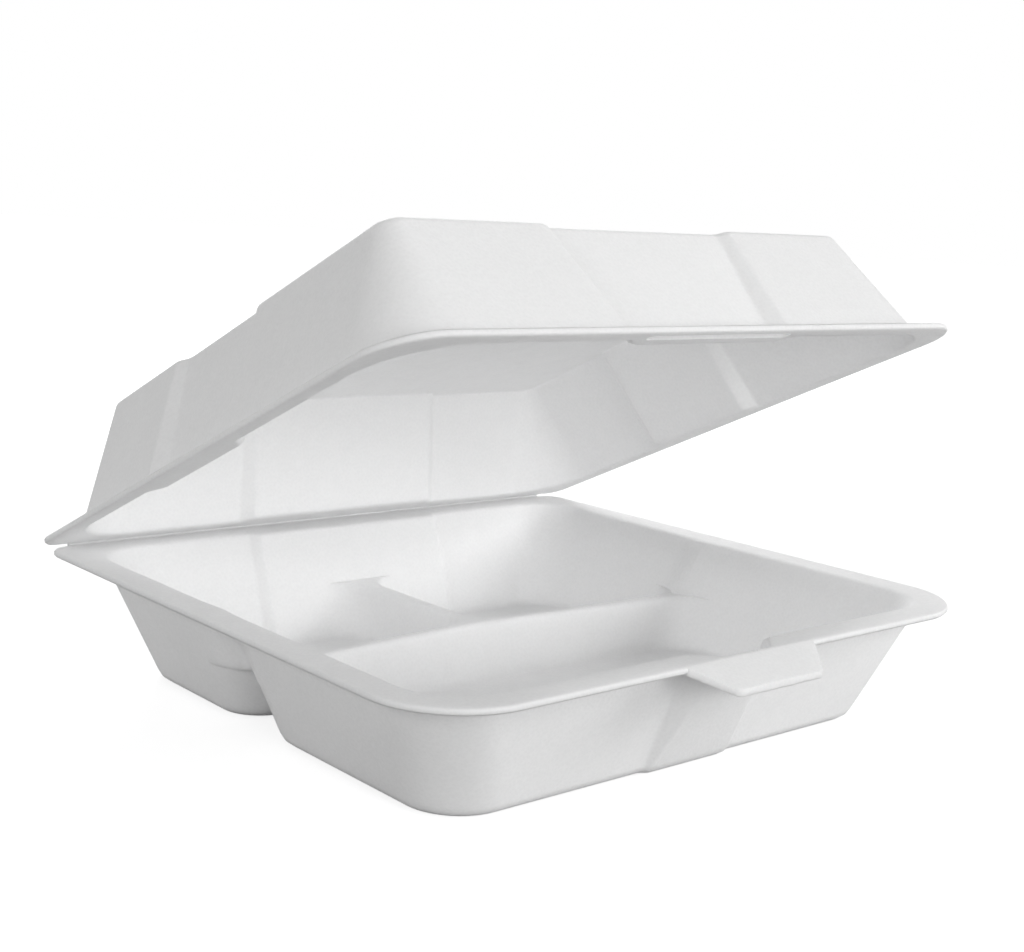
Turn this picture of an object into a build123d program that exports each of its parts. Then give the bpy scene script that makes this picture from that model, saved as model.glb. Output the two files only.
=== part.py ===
from build123d import *
import os
from math import atan2, cos, pi, radians, sin, tan

# A three-compartment take-out container, thermoformed from one sheet of foam.
# Millimetres. X runs along the hinge, Y from the latch to the hinge, Z up from the table.

# What both halves share
sheet = 2.2                # foam thickness
rim_bevel = 0.6            # bevel of the trimmed outer edges
rim_bend = 2.0             # bend between wall and flat rim
hinge_corner = 7.0         # plan radius of the rims' corners at the crease
fold_ease = 0.8            # how far the flat of a fold reaches along the walls beside it

# Base
base_width = 232.0         # rim's outer size along the hinge
base_depth = 216.0         # rim's outer size from hinge edge to front edge
base_rim_corner = 28.0     # plan radius of the rim's front corners
base_flange = 8.5          # flat rim outside the walls
base_height = 41.0         # table to rim top
base_run = 15.2            # how far the walls lean in from rim to table
base_corner = 20.0         # plan radius of the walls' corners
floor_round = 3.5          # inside bend between wall and floor
back_panel = 78.0          # width of the panel pushed in on the back wall
back_panel_depth = 3.2
crest_height = 21.0        # divider tops above the table
divider_crest = 5.0        # width of a divider just under its rounded top
divider_run = 5.5          # how far a divider's face spreads from crest to table
crest_round = 1.7          # rounding along each side of a crest
divider_y = 8.5            # main divider's middle, at the side walls
divider_bend = 8.0         # how much nearer the hinge it is at its middle
cup_corner = 14.0          # plan radius inside a compartment beside a divider
flute_share = 0.85         # groove up the side wall above the main divider, as a share of that rounding
flute_rim_share = 0.04     # the same groove at the rim
flute_margin = 1.2         # how far it stays inside the compartments' corners

# Latch tab, and the bulge of the front wall that carries it
bulge_root = 37.0          # width where it leaves the wall
bulge_depth = 8.0          # at the rim
bulge_foot = 1.0           # at the table
tab_root = 55.0
tab_tip = 36.0
tab_reach = 11.5           # beyond the rim's front edge
tab_droop = 5.0
tab_fold_setback = 1.0     # fold line inside the rim's front edge
tab_corner = 3.0

# Lid
lid_width = 238.0          # rim's outer size along the hinge
lid_depth = 218.5          # rim's outer size from hinge edge to front edge
lid_rim_corner = 18.0      # plan radius of the rim's front corners
lid_flange = 4.5           # flat rim outside the walls
lid_height = 42.0          # rim underside to top
lid_run = 19.5             # how far the walls lean in from rim to top
lid_corner = 26.0          # plan radius of the walls' corners at the rim
top_round = 3.0            # outside bend between wall and top
lid_panel_depth = 4.5      # depth of the panels pushed in on the lid's walls, at the rim
lid_panel_top_depth = 3.0  # the same at the top
front_panel = 58.0         # width of the front panel at the rim
front_panel_top = 72.0     # width of the front panel at the top
rear_panel = 78.0
side_panel = 46.0
side_panel_y = 8.0
slot_length = 60.0
slot_width = 3.5
slot_setback = 2.5         # rim's front edge to the slot

# Hinge crease
open_angle = 24.4
crease_clearance = 0.4     # gap between the two rims, shut or laid flat

# Derived values
crease_y = base_depth / 2
base_front = -base_depth / 2
lid_front = crease_y - lid_depth
MITRE = tan(radians(22.5))             # how a 45 degree fold shifts with an offset
base_lean = atan2(base_run, base_height)
lid_lean = atan2(lid_run, lid_height)
base_wall = sheet / cos(base_lean)     # level thickness of a leaning wall
lid_wall = sheet / cos(lid_lean)
hinge = Axis((0, crease_y + crease_clearance / 2, base_height + crease_clearance / 2), (1, 0, 0))
BEND_STEPS = 3                         # flats in a bend
RIM_STEPS = 1                          # flats in the small bend at a rim
CREST_STEPS = 3                        # flats in the rounding of a crest
FLUTE_STEPS = 4                        # flats in a quarter turn of the side walls' grooves
FOLD, SHARP = 0, -1                    # corners of an outline with no radius


def between(start, end, share):
    return start + (end - start) * share


def bend_sections(radius, lean, steps):
    """A bend from a leaning wall to a flat: (height off the flat, way in from the bend's start)."""
    angles = [between(lean, pi / 2, step / steps) for step in range(steps + 1)]
    return [(radius * (1 - sin(angle)), radius * (cos(lean) - cos(angle))) for angle in angles]


def crest_sections():
    """The rounding of a crest: (drop below its top, pull-in of its side), from the top down."""
    angles = [pi / 2 * step / CREST_STEPS for step in range(CREST_STEPS + 1)]
    return [(crest_round * (1 - cos(angle)), crest_round * (1 - sin(angle))) for angle in angles]


def outline(corners, height):
    """A face at a height, from corners (x, y, radius), where FOLD is a narrow flat and SHARP none."""
    turns, ends = [], []
    for before, here, after in zip(corners[-1:] + corners[:-1], corners, corners[1:] + corners[:1]):
        corner, radius = Vector(*here[:2]), here[2]
        ways = [(Vector(*end[:2]) - corner).normalized() for end in (before, after)]
        half_angle = radians(ways[0].get_angle(ways[1])) / 2
        reach = {FOLD: fold_ease, SHARP: 0.0}.get(radius, radius / tan(half_angle))
        first, last = [corner + way * reach for way in ways]
        ends.append((first, last))
        if radius == FOLD:
            turns.append(Line(first, last))
        elif radius != SHARP:
            middle = corner + (ways[0] + ways[1]).normalized() * (radius / sin(half_angle) - radius)
            turns.append(ThreePointArc(first, middle, last))
    sides = [Line(start[1], end[0]) for start, end in zip(ends, ends[1:] + ends[:1])]
    return Pos(0, 0, height) * make_face(turns + sides)


def mirrored(right_half):
    return right_half + [(-x, y, radius) for x, y, radius in reversed(right_half) if x > 0]


def stack(make_section, levels):
    """A solid through one section per level, straight between neighbours."""
    return loft([make_section(*level) for level in levels], ruled=True)


# Outlines of the base at a height z. "wall_z" is the height where the leaning walls have the outline's
# place: z itself, or in a bend the height where the bend starts. "skin" is the way in from the outside.

def base_sides(wall_z, skin):
    """Half width, front and back of the walls."""
    inset = base_flange + base_run * (1 - wall_z / base_height) + skin
    return base_width / 2 - inset, base_front + inset, crease_y - inset


def bulge_corners(wall_z, skin):
    _, front, _ = base_sides(wall_z, skin)
    depth = between(bulge_foot, bulge_depth, wall_z / base_height)
    root = bulge_root / 2 - MITRE * skin
    return [(root - depth, front - depth, FOLD), (root, front, FOLD)]


def back_panel_corners(wall_z, skin):
    _, _, back = base_sides(wall_z, skin)
    half = back_panel / 2 + MITRE * skin
    return [(half + back_panel_depth, back, FOLD), (half, back - back_panel_depth, FOLD)]


def flute_corners(wall_z, skin):
    """The groove that carries the compartments' corners on above the main divider, fading to the rim."""
    side, _, _ = base_sides(wall_z, skin)
    fade = between(flute_share, flute_rim_share, (wall_z - crest_height) / (base_height - crest_height))
    radius = cup_corner + base_wall - skin
    crest = divider_crest / 2 - crest_round - flute_margin
    step = pi / 2 / FLUTE_STEPS
    corners = []
    for turn in range(FLUTE_STEPS - 1):
        angle = step * (turn + 0.5)
        depth = radius * (1 - cos(angle) / cos(step / 2))
        way = crest + radius * (1 - sin(angle) / cos(step / 2))
        corners.append((side - fade * depth, way))
    middle = divider_middle(side)
    fore = [(x, middle - way, SHARP) for x, way in corners]
    return fore + [(x, middle + way, SHARP) for x, way in reversed(corners)]


def tub_section(z, wall_z, skin):
    """The base above its dividers."""
    side, front, back = base_sides(wall_z, skin)
    corner = base_corner - skin
    right_half = bulge_corners(wall_z, skin) + [(side, front, corner)] + flute_corners(wall_z, skin)
    right_half += [(side, back, corner)] + back_panel_corners(wall_z, skin)
    return outline(mirrored(right_half), z)


def divider_half(wall_z, skin, lip):
    """Half width of a divider, seen from inside a compartment or, with no skin, from below."""
    return divider_crest / 2 + divider_run * (1 - wall_z / crest_height) - (base_wall - skin) - lip


def divider_middle(x):
    return divider_y + divider_bend * (1 - x / (base_width / 2 - base_flange))


def front_cup_section(z, wall_z, skin, lip=0.0):
    side, front, _ = base_sides(wall_z, skin)
    half = divider_half(wall_z, skin, lip)
    right_half = bulge_corners(wall_z, skin) + [
        (side, front, base_corner - skin),
        (side, divider_middle(side) - half, cup_corner + base_wall - skin),
        (0, divider_middle(0) - half, FOLD),
    ]
    return outline(mirrored(right_half), z)


def back_cup_section(z, wall_z, skin, lip=0.0):
    """The right-hand compartment beside the hinge."""
    side, _, back = base_sides(wall_z, skin)
    half = divider_half(wall_z, skin, lip)
    radius = cup_corner + base_wall - skin
    corners = [
        (side, divider_middle(side) + half, radius),
        (side, back, base_corner - skin),
        *back_panel_corners(wall_z, skin),
        (half, back - back_panel_depth, radius),
        (half, divider_middle(half) + half, radius),
    ]
    return outline(corners, z)


def cups(levels):
    """The three compartments as solids, from their levels (z, wall_z, skin, lip)."""
    back_right = stack(back_cup_section, levels)
    return [stack(front_cup_section, levels), back_right, mirror(back_right, about=Plane.YZ)]


def rim_plate(width, depth, front_corner, height):
    """A flat rim as a whole plate, with its trimmed edge beveled."""
    def section(z, inset):
        side, front, back = width / 2 - inset, crease_y - depth + inset, crease_y - inset
        right_half = [(side, front, front_corner - inset), (side, back, hinge_corner - inset)]
        return outline(mirrored(right_half), height + z)
    return stack(section, [(0, rim_bevel), (rim_bevel, 0), (sheet - rim_bevel, 0), (sheet, rim_bevel)])


def tab_solids():
    """The drooping latch tab, and the space above it."""
    fold = base_front + tab_fold_setback
    tip = base_front - tab_reach
    inner = base_front + base_flange
    slope = tab_droop / (fold - tip)
    top = [(inner, base_height), (fold, base_height), (tip, base_height - tab_droop)]
    under = [(y, z - sheet) for y, z in reversed(top)]
    strip = extrude(Plane.YZ * Polygon(*top, *under, align=None), tab_root, both=True)
    past = tip - base_flange
    clear = [
        (fold, base_height),
        (past, base_height - slope * (fold - past)),
        (past, base_height + base_flange),
        (fold, base_height + base_flange),
    ]
    above = extrude(Plane.YZ * Polygon(*clear, align=None), tab_root, both=True)
    root = tab_root / 2
    corners = [(tab_tip / 2, tip, tab_corner), (root, base_front, FOLD), (root, inner, FOLD)]
    plan = outline(mirrored(corners), 0)
    return strip & extrude(plan, base_height + base_flange), above


def make_base():
    crest_under = crest_height - sheet
    rim_under = base_height - sheet
    rim_turn = bend_sections(rim_bend, base_lean, RIM_STEPS)[::-1]
    turn_start = rim_turn[-1][0]
    outer_floor = bend_sections(floor_round + sheet, base_lean, BEND_STEPS)
    inner_floor = bend_sections(floor_round, base_lean, BEND_STEPS)

    outer_levels = [(rim_under - z, rim_under - turn_start, -way) for z, way in rim_turn]
    outer_levels += [(crest_under, crest_under, 0)]
    inner_levels = [(base_height - z, base_height - turn_start, base_wall - way) for z, way in rim_turn]
    inner_levels += [(crest_height, crest_height, base_wall)]

    cup_levels = [(z, outer_floor[0][0], way) for z, way in outer_floor]
    outer_cups = cups([(crest_under, crest_under, 0)] + cup_levels)
    crest_tops = [(crest_height - drop, lip) for drop, lip in crest_sections()]
    crest_levels = [(z, z, base_wall, lip) for z, lip in crest_tops]
    floor_levels = [(sheet + z, sheet + inner_floor[0][0], base_wall + way, 0) for z, way in inner_floor]
    inner_cups = cups(crest_levels + floor_levels)

    tab, above_tab = tab_solids()
    rim = rim_plate(base_width, base_depth, base_rim_corner, rim_under)
    body = stack(tub_section, outer_levels) + [rim, tab, *outer_cups]
    return body - [above_tab, stack(tub_section, inner_levels), *inner_cups]


# Outlines of the lid, built shut. "rise" is the height above the rim's underside, "wall_rise" like wall_z.

def lid_section(rise, wall_rise, skin):
    share = wall_rise / lid_height
    inset = lid_flange + lid_run * share + skin
    side, front, back = lid_width / 2 - inset, lid_front + inset, crease_y - inset
    corner = lid_corner - lid_run * share - skin
    depth = between(lid_panel_depth, lid_panel_top_depth, share)
    front_half = between(front_panel, front_panel_top, share) / 2 + MITRE * skin
    rear_half = rear_panel / 2 + MITRE * skin
    side_half = side_panel / 2 + MITRE * skin
    low, high = side_panel_y - side_half, side_panel_y + side_half
    right_half = [
        (front_half, front + depth, FOLD),
        (front_half + depth, front, FOLD),
        (side, front, corner),
        (side, low - depth, FOLD),
        (side - depth, low, FOLD),
        (side - depth, high, FOLD),
        (side, high + depth, FOLD),
        (side, back, corner),
        (rear_half + depth, back, FOLD),
        (rear_half, back - depth, FOLD),
    ]
    return outline(mirrored(right_half), base_height + crease_clearance + rise)


def make_lid():
    rim_turn = bend_sections(rim_bend, lid_lean, RIM_STEPS)[::-1]
    turn_start = rim_turn[-1][0]
    outer_top = bend_sections(top_round, lid_lean, BEND_STEPS)
    inner_top = bend_sections(top_round - sheet, lid_lean, BEND_STEPS)
    inside_top = lid_height - sheet

    outer_levels = [(sheet + z, sheet + turn_start, -way) for z, way in rim_turn]
    outer_levels += [(lid_height - z, lid_height - outer_top[0][0], way) for z, way in outer_top]
    inner_levels = [(z, turn_start, lid_wall - way) for z, way in rim_turn]
    inner_levels += [(inside_top - z, inside_top - inner_top[0][0], lid_wall + way) for z, way in inner_top]

    rim_under = base_height + crease_clearance
    slot_y = lid_front + slot_setback + slot_width / 2
    slot = extrude(Pos(0, slot_y, rim_under) * SlotOverall(slot_length, slot_width), 2 * sheet, both=True)
    rim = rim_plate(lid_width, lid_depth, lid_rim_corner, rim_under)
    shut = stack(lid_section, outer_levels) + rim - [stack(lid_section, inner_levels), slot]
    return shut.rotate(hinge, -open_angle)


os.makedirs("parts", exist_ok=True)
for name, solid in {"base_tray": make_base(), "lid": make_lid()}.items():
    export_step(solid, f"parts/{name}.step")
    print(name, len(solid.solids()), "solid", round(solid.volume), "mm3", solid.bounding_box())
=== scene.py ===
import bmesh
import bpy
import math
from mathutils import Matrix, Vector


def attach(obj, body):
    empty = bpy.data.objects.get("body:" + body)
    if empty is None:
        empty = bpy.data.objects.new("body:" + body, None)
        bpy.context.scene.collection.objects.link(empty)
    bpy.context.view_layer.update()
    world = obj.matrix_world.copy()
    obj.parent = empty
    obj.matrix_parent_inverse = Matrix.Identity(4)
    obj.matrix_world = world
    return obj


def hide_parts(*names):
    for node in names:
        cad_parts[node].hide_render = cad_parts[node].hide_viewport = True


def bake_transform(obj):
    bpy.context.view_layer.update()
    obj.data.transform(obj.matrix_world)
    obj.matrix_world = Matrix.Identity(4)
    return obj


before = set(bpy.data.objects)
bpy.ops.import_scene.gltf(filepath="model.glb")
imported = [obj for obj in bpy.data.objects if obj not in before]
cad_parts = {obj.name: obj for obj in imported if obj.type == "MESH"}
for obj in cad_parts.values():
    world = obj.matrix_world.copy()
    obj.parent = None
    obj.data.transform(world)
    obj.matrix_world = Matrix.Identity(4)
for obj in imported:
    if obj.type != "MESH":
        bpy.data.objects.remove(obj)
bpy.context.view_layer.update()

MM = 0.001

# Photograph's camera, fitted to the rims and the lid
PHOTO_WIDTH = 1024
FOCAL_PIXELS = 1570.2
SENSOR = 36.0
CLIP_START = 0.01
CAMERA_AT = Vector((-0.3412, -0.3903, 0.1631))
YAW, PITCH, ROLL = (math.radians(a) for a in (41.05, 9.64, 2.97))

# Foam: features per metre, depth of the relief, how far light goes in the sheet, and the range of white
CELLS_PER_M, GRAIN_PER_M, MOTTLE_PER_M, WAVES_PER_M = 900.0, 420.0, 120.0, 38.0
FINE_DEPTH, WAVE_DEPTH = 0.3 * MM, 1.2 * MM
CELL_RELIEF, GRAIN_RELIEF, WAVE_RELIEF = 0.20, 0.15, 0.35
FLECK_SHARE = 0.6
DULL_AT, DULL_WHITE = 0.50, (0.940, 0.942, 0.947, 1)
CLEAR_AT, CLEAR_WHITE = 1.0, (0.988, 0.988, 0.990, 1)
LIGHT_REACH = 3 * MM
ROUGHNESS = 0.66
REFRACTION = 1.45
GLOSS = 0.2

# Joining of the meshes: nearest points, faces that count as flat, folds that stay soft
MERGE = 0.002 * MM
FLAT_ANGLE = math.radians(0.6)
SMOOTH_ANGLE = math.radians(50)

# Hinge line of the rims of base and lid, and the fold round it.
# The angles are from the +Y direction, with the lid as in the photograph.
CREASE = Vector((0, 108.2, 41.2)) * MM
FOLD_HALF = 108 * MM
FOLD_INNER, FOLD_MIDDLE, FOLD_OUTER = 0.1 * MM, 0.9 * MM, 1.3 * MM
FOLD_START, BASE_EDGE, LID_EDGE, FOLD_END = (math.radians(a) for a in (-100, -90, 66, 76))
FOLD_STEPS = 10

# Floor and sky: white to the camera, the floor fading up with distance from the part.
# The light that they cast on the part is weaker.
FLOOR_RADIUS = 8.0
FLOOR_SIDES = 64
FLOOR_BOUNCE, FLOOR_SEEN = 0.40, 0.50
NEAR, FAR = 0.25, 1.0
NEAR_GLOW, FAR_GLOW = 0.76, 1.0
SKY_LIGHT, SKY_SEEN = 0.26, 1.0

# Softboxes round the part: degrees from the front towards the right, degrees above the table, watts
SOFTBOXES = (
    ("left_fill", -80, 20, 7.2),
    ("front_fill", 0, 10, 9.8),
    ("key", 45, 20, 9.3),
    ("back_light", 148, 25, 14.5),
)
SOFTBOX_WIDTH, SOFTBOX_HEIGHT = 0.9, 0.6
LAMP_DISTANCE = 1.6
LIT_POINT = Vector((0, 0, 0.07))


def grey(value):
    return value, value, value, 1


def node(tree, kind, **sockets):
    """A shader node with its input sockets set or linked; _0, _1 and so on are sockets by number."""
    made = tree.nodes.new(kind)
    for name, value in sockets.items():
        key = int(name[1:]) if name[0] == "_" else name.replace("_", " ")
        if isinstance(value, bpy.types.NodeSocket):
            tree.links.new(value, made.inputs[key])
        else:
            made.inputs[key].default_value = value
    return made


def empty_tree(owner):
    """The node tree of a material or world, with nothing in it."""
    owner.use_nodes = True
    owner.node_tree.nodes.clear()
    return owner.node_tree


def add(name, data):
    """An object in the scene for a mesh, lamp or camera."""
    made = bpy.data.objects.new(name, data)
    bpy.context.scene.collection.objects.link(made)
    return made


def mesh_of(name, shape, material):
    mesh = bpy.data.meshes.new(name)
    shape.to_mesh(mesh)
    shape.free()
    mesh.materials.append(material)
    return mesh


def foam_skin():
    """White foam: a closed matt skin over fine cells, with slow waves left by the mould."""
    material = bpy.data.materials.new("foam_skin")
    tree = empty_tree(material)
    place = tree.nodes.new("ShaderNodeTexCoord").outputs["Object"]
    cells = node(tree, "ShaderNodeTexVoronoi", Vector=place, Scale=CELLS_PER_M, Randomness=1.0)
    cells.feature = "F1"
    grain = node(tree, "ShaderNodeTexNoise", Vector=place, Scale=GRAIN_PER_M, Detail=3.0, Roughness=0.55)
    waves = node(tree, "ShaderNodeTexNoise", Vector=place, Scale=WAVES_PER_M, Detail=2.0, Roughness=0.45)
    mottle = node(tree, "ShaderNodeTexNoise", Vector=place, Scale=MOTTLE_PER_M, Detail=4.0, Roughness=0.6)

    flecks = node(tree, "ShaderNodeMath", _0=cells.outputs["Distance"], _1=FLECK_SHARE,
                  _2=mottle.outputs["Fac"])
    flecks.operation = "MULTIPLY_ADD"
    tone = node(tree, "ShaderNodeValToRGB", Fac=flecks.outputs["Value"])
    dull, clear = tone.color_ramp.elements
    dull.position = DULL_AT
    dull.color = DULL_WHITE
    clear.position = CLEAR_AT
    clear.color = CLEAR_WHITE

    slow = node(tree, "ShaderNodeBump", Strength=WAVE_RELIEF, Distance=WAVE_DEPTH,
                Height=waves.outputs["Fac"])
    fine = node(tree, "ShaderNodeBump", Strength=GRAIN_RELIEF, Distance=FINE_DEPTH,
                Height=grain.outputs["Fac"], Normal=slow.outputs["Normal"])
    relief = node(tree, "ShaderNodeBump", Strength=CELL_RELIEF, Distance=FINE_DEPTH,
                  Height=cells.outputs["Distance"], Normal=fine.outputs["Normal"])
    shade = node(tree, "ShaderNodeBsdfPrincipled", Base_Color=tone.outputs["Color"], Roughness=ROUGHNESS,
                 IOR=REFRACTION, Subsurface_Weight=1.0, Subsurface_Radius=(1.0, 1.0, 1.0),
                 Subsurface_Scale=LIGHT_REACH, Specular_IOR_Level=GLOSS, Normal=relief.outputs["Normal"])
    node(tree, "ShaderNodeOutputMaterial", Surface=shade.outputs["BSDF"])
    return material


def foam_half(name, cad_node, body, material):
    """The visible foam of one half: the solid's mesh, joined up and with soft folds."""
    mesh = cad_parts[cad_node].data.copy()
    mesh.name = name
    shape = bmesh.new()
    shape.from_mesh(mesh)
    bmesh.ops.remove_doubles(shape, verts=shape.verts, dist=MERGE)
    bmesh.ops.dissolve_limit(shape, angle_limit=FLAT_ANGLE, verts=shape.verts, edges=shape.edges)
    for face in shape.faces:
        face.smooth = True
    shape.to_mesh(mesh)
    shape.free()
    if "custom_normal" in mesh.attributes:
        mesh.attributes.remove(mesh.attributes["custom_normal"])
    mesh.materials.clear()
    mesh.materials.append(material)
    mesh.set_sharp_from_angle(angle=SMOOTH_ANGLE)
    piece = add(name, mesh)
    fair = piece.modifiers.new("fair_normals", "WEIGHTED_NORMAL")
    fair.keep_sharp = True
    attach(piece, body)
    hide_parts(cad_node)


def hinge_fold(material):
    """The pressed crease that joins the two rims: a round fold about the hinge line."""
    shape = bmesh.new()
    bmesh.ops.create_grid(shape, x_segments=1, y_segments=1, size=0.5)
    bmesh.ops.scale(shape, verts=shape.verts, vec=(2 * FOLD_HALF, FOLD_OUTER - FOLD_INNER, 1))
    bmesh.ops.translate(shape, verts=shape.verts, vec=(0, (FOLD_OUTER + FOLD_INNER) / 2, 0))
    bmesh.ops.rotate(shape, verts=shape.verts, cent=(0, 0, 0), matrix=Matrix.Rotation(FOLD_START, 3, "X"))
    bmesh.ops.translate(shape, verts=shape.verts, vec=CREASE)
    bmesh.ops.spin(shape, geom=shape.faces[:], cent=CREASE, axis=(1, 0, 0), angle=FOLD_END - FOLD_START,
                   steps=FOLD_STEPS)
    bmesh.ops.recalc_face_normals(shape, faces=shape.faces)
    for face in shape.faces:
        face.smooth = True
    mesh = mesh_of("hinge_fold", shape, material)
    mesh.set_sharp_from_angle(angle=SMOOTH_ANGLE)
    fold = add("hinge_fold", mesh)
    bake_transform(fold)


def white_floor():
    """A floor that is white to the camera and keeps the part's shadow."""
    material = bpy.data.materials.new("studio_floor")
    tree = empty_tree(material)
    camera_ray = tree.nodes.new("ShaderNodeLightPath").outputs["Is Camera Ray"]
    matt = node(tree, "ShaderNodeBsdfDiffuse", Color=grey(FLOOR_BOUNCE))
    seen = node(tree, "ShaderNodeBsdfDiffuse", Color=grey(FLOOR_SEEN))
    place = tree.nodes.new("ShaderNodeTexCoord").outputs["Object"]
    away = node(tree, "ShaderNodeVectorMath", _0=place)
    away.operation = "LENGTH"
    fade = node(tree, "ShaderNodeMapRange", _0=away.outputs["Value"], _1=NEAR, _2=FAR,
                _3=NEAR_GLOW, _4=FAR_GLOW)
    glow = node(tree, "ShaderNodeEmission", Color=grey(1), Strength=fade.outputs["Result"])
    both = node(tree, "ShaderNodeAddShader", _0=seen.outputs["BSDF"], _1=glow.outputs["Emission"])
    pick = node(tree, "ShaderNodeMixShader", _0=camera_ray, _1=matt.outputs["BSDF"],
                _2=both.outputs["Shader"])
    node(tree, "ShaderNodeOutputMaterial", Surface=pick.outputs["Shader"])

    shape = bmesh.new()
    bmesh.ops.create_circle(shape, cap_ends=True, segments=FLOOR_SIDES, radius=FLOOR_RADIUS)
    floor = add("floor", mesh_of("floor", shape, material))


def studio_light():
    """Even light all round, and softboxes, most of their light from the right."""
    world = bpy.data.worlds.new("studio")
    bpy.context.scene.world = world
    tree = empty_tree(world)
    camera_ray = tree.nodes.new("ShaderNodeLightPath").outputs["Is Camera Ray"]
    sky = node(tree, "ShaderNodeBackground", Color=grey(1), Strength=SKY_LIGHT)
    paper = node(tree, "ShaderNodeBackground", Color=grey(1), Strength=SKY_SEEN)
    pick = node(tree, "ShaderNodeMixShader", _0=camera_ray, _1=sky.outputs["Background"],
                _2=paper.outputs["Background"])
    node(tree, "ShaderNodeOutputWorld", Surface=pick.outputs["Shader"])

    for name, turn, rise, energy in SOFTBOXES:
        light = bpy.data.lights.new(name, "AREA")
        light.shape = "RECTANGLE"
        light.size = SOFTBOX_WIDTH
        light.size_y = SOFTBOX_HEIGHT
        light.energy = energy
        lamp = add(name, light)
        turn, rise = math.radians(turn), math.radians(rise)
        toward = Vector((math.cos(rise) * math.sin(turn), -math.cos(rise) * math.cos(turn), math.sin(rise)))
        lamp.location = LIT_POINT + LAMP_DISTANCE * toward
        lamp.rotation_euler = (-toward).to_track_quat("-Z", "Y").to_euler()


def photo_camera():
    """The photograph's camera: its place, its turn about three axes and its focal length."""
    forward = Vector((math.sin(YAW) * math.cos(PITCH), math.cos(YAW) * math.cos(PITCH), -math.sin(PITCH)))
    level = Vector((math.cos(YAW), -math.sin(YAW), 0))
    above = level.cross(forward)
    right = math.cos(ROLL) * level + math.sin(ROLL) * above
    up = math.cos(ROLL) * above - math.sin(ROLL) * level
    camera = bpy.data.cameras.new("camera")
    camera.sensor_fit = "HORIZONTAL"
    camera.sensor_width = SENSOR
    camera.lens = FOCAL_PIXELS * SENSOR / PHOTO_WIDTH
    camera.clip_start = CLIP_START
    mount = add("camera", camera)
    turn = Matrix((right, up, -forward)).transposed()
    mount.matrix_world = Matrix.Translation(CAMERA_AT) @ turn.to_4x4()
    bpy.context.scene.camera = mount


skin = foam_skin()
foam_half("foam_base", "base_tray", "base", skin)
foam_half("foam_lid", "lid", "lid", skin)
hinge_fold(skin)
white_floor()
studio_light()
photo_camera()
bpy.context.scene.view_settings.view_transform = "Standard"
